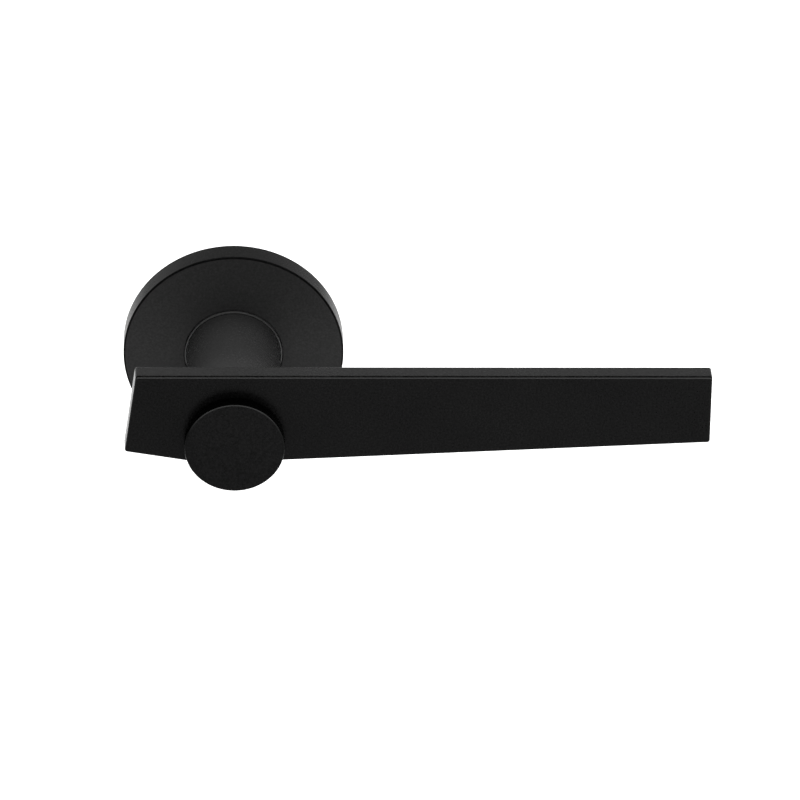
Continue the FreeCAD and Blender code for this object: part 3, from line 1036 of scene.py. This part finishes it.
def clamp():
    """Cap screw that pulls boss and bar onto the neck, and the lock washer under its head."""
    front, top = low("clamp_screw").y, high("clamp_screw").y
    washer, seat = low("clamp_washer").y, high("clamp_washer").y
    blank = turned([
        (0, front, 0),
        (clamp_radius - clamp_tip[0], front, thin_edge),
        (clamp_radius, front + clamp_tip[1], 0),
        (clamp_radius, seat, 0),
        (clamp_head, seat, broken_edge),
        (clamp_head, top, clamp_head_round),
        (0, top, 0),
    ], steps=screw_steps)
    bm = bored(blank, hex_key(hex_size, top + overrun, top - clamp_key_depth))
    finish_piece("clamp_cap_screw", bm, BLACK_OXIDE, "lever", ["clamp_screw"])
    bm = turned(ring_profile(clamp_washer_bore, clamp_head, washer, seat), steps=washer_steps)
    finish_piece("clamp_lock_washer", bm, SPRING_STEEL, "lever", ["clamp_washer"])


def dowels():
    """Two ground dowels with chamfered ends."""
    bm = bmesh.new()
    start, end = low("locating_pins").y, high("locating_pins").y
    nose = dowel_radius - dowel_nose
    across, up = dowel_place
    for side in (-1, 1):
        pin = turned([
            (0, start, 0),
            (nose, start, hair_edge),
            (dowel_radius, start + dowel_nose, hair_edge),
            (dowel_radius, end - dowel_nose, hair_edge),
            (nose, end, hair_edge),
            (0, end, 0),
        ], steps=dowel_steps)
        join(bm, moved(pin, (side * across, 0, up)))
    return finish_piece("dowel_pair", bm, GROUND_STEEL, "lever", ["locating_pins"])


def finish_cad_nodes():
    """Finishes of the inner pieces whose CAD shape is already right."""
    finishes = {
        "spring_cover": ZINC,
        "stop_pins": GROUND_STEEL,
        "return_spring": SPRING_STEEL,
        "cover_clips": SPRING_STEEL,
        "spring_driver": ZINC,
    }
    for node, material in finishes.items():
        piece = bpy.data.objects[node]
        piece.data.materials.clear()
        piece.data.materials.append(material)


# ---------------------------------------------------------------- studio
floor_half = 4                  # metres
floor_height = -0.35
room_glow = 0.06
middle = (0.05, 0, 0)           # where most of the lights aim


def studio():
    """Pale matt floor, well under the handle."""
    bm = bmesh.new()
    bmesh.ops.create_grid(bm, x_segments=1, y_segments=1, size=floor_half)
    bmesh.ops.translate(bm, vec=Vector((0, 0, floor_height)), verts=bm.verts)
    mesh = bpy.data.meshes.new("studio_floor")
    bm.to_mesh(mesh)
    bm.free()
    floor = bpy.data.objects.new("studio_floor", mesh)
    bpy.context.scene.collection.objects.link(floor)
    paint = Finish("pale_floor", roughness=0.9, specular_ior_level=0.1)
    paint.shader.inputs["Base Color"].default_value = (*grey(0.9), 1)
    mesh.materials.append(paint.material)


def room():
    """Dim even room round the lights."""
    world = bpy.data.worlds.new("room")
    world.use_nodes = True
    bpy.context.scene.world = world
    glow = world.node_tree.nodes["Background"]
    glow.inputs["Color"].default_value = (*grey(1), 1)
    glow.inputs["Strength"].default_value = room_glow


def soft_box(name, place, aim, size, power, mirrored=True):
    """A rectangular soft light that faces a point: either seen in the gloss or filling the room."""
    light = bpy.data.lights.new(name, "AREA")
    light.shape = "RECTANGLE"
    light.size, light.size_y = size
    light.energy = power
    lamp = bpy.data.objects.new(name, light)
    lamp.location = place
    lamp.rotation_euler = (Vector(aim) - Vector(place)).to_track_quat("-Z", "Y").to_euler()
    lamp.visible_camera = False
    lamp.visible_glossy = mirrored
    lamp.visible_diffuse = not mirrored
    bpy.context.scene.collection.objects.link(lamp)
    return lamp


def lights():
    """Two boxes that whiten the floor and fill the front, and three seen only in the gloss."""
    soft_box(
        "overhead", (0.05, 0.9, 2.0), aim=(0.05, 0.9, 0), size=(3.5, 3.5), power=190, mirrored=False
    )
    soft_box(
        "front_fill", (0.3, -2.0, 1.4), aim=middle, size=(1.6, 1.0), power=14, mirrored=False
    )
    soft_box("back_sweep", (0.05, 1.6, 0.55), aim=(0.05, 0, 0.2), size=(5.0, 1.4), power=36)
    soft_box("front_sweep", (0.05, -1.3, 0.05), aim=middle, size=(3.0, 0.55), power=6)
    soft_box("front_card", (0.5, -0.65, -0.33), aim=(0.1, -0.05, 0), size=(0.8, 0.5), power=3.0)


def camera():
    """Long lens from above, a little to the left, with the handle low and left of the middle."""
    azimuth, elevation, roll = math.radians(-1.35), math.radians(30.0), math.radians(0.7)
    distance = 3.0
    frame_width = 0.1925855         # metres across the view at the handle
    aside, above = 0.04008, 0.01134
    edge_round = 0.0004
    sensor = 36
    back = Vector((
        math.sin(azimuth) * math.cos(elevation),
        -math.cos(azimuth) * math.cos(elevation),
        math.sin(elevation),
    ))
    right = Vector((math.cos(azimuth), math.sin(azimuth), 0))
    up = back.cross(right)
    tilted_right = right * math.cos(roll) + up * math.sin(roll)
    tilted_up = up * math.cos(roll) - right * math.sin(roll)
    rose_edge = Vector((0, rose_front * MM + edge_round, 0))
    aim = rose_edge + tilted_right * aside - tilted_up * above
    data = bpy.data.cameras.new("bench_camera")
    data.sensor_width = sensor
    data.lens = sensor * distance / frame_width
    data.clip_start, data.clip_end = 0.1, 50
    eye = bpy.data.objects.new("bench_camera", data)
    eye.matrix_world = Matrix((
        (tilted_right.x, tilted_up.x, back.x, 0),
        (tilted_right.y, tilted_up.y, back.y, 0),
        (tilted_right.z, tilted_up.z, back.z, 0),
        (0, 0, 0, 1),
    ))
    eye.location = aim + back * distance
    bpy.context.scene.collection.objects.link(eye)
    bpy.context.scene.camera = eye


rose_cover()
guide_ring()
base_plate()
lug(-1)
lug(1)
bush()
rivets()
grip_bar()
neck()
front_boss()
spindle()
washers()
circlip()
set_screw()
clamp()
dowels()
finish_cad_nodes()
studio()
room()
lights()
camera()
bpy.context.scene.view_settings.view_transform = "Standard"
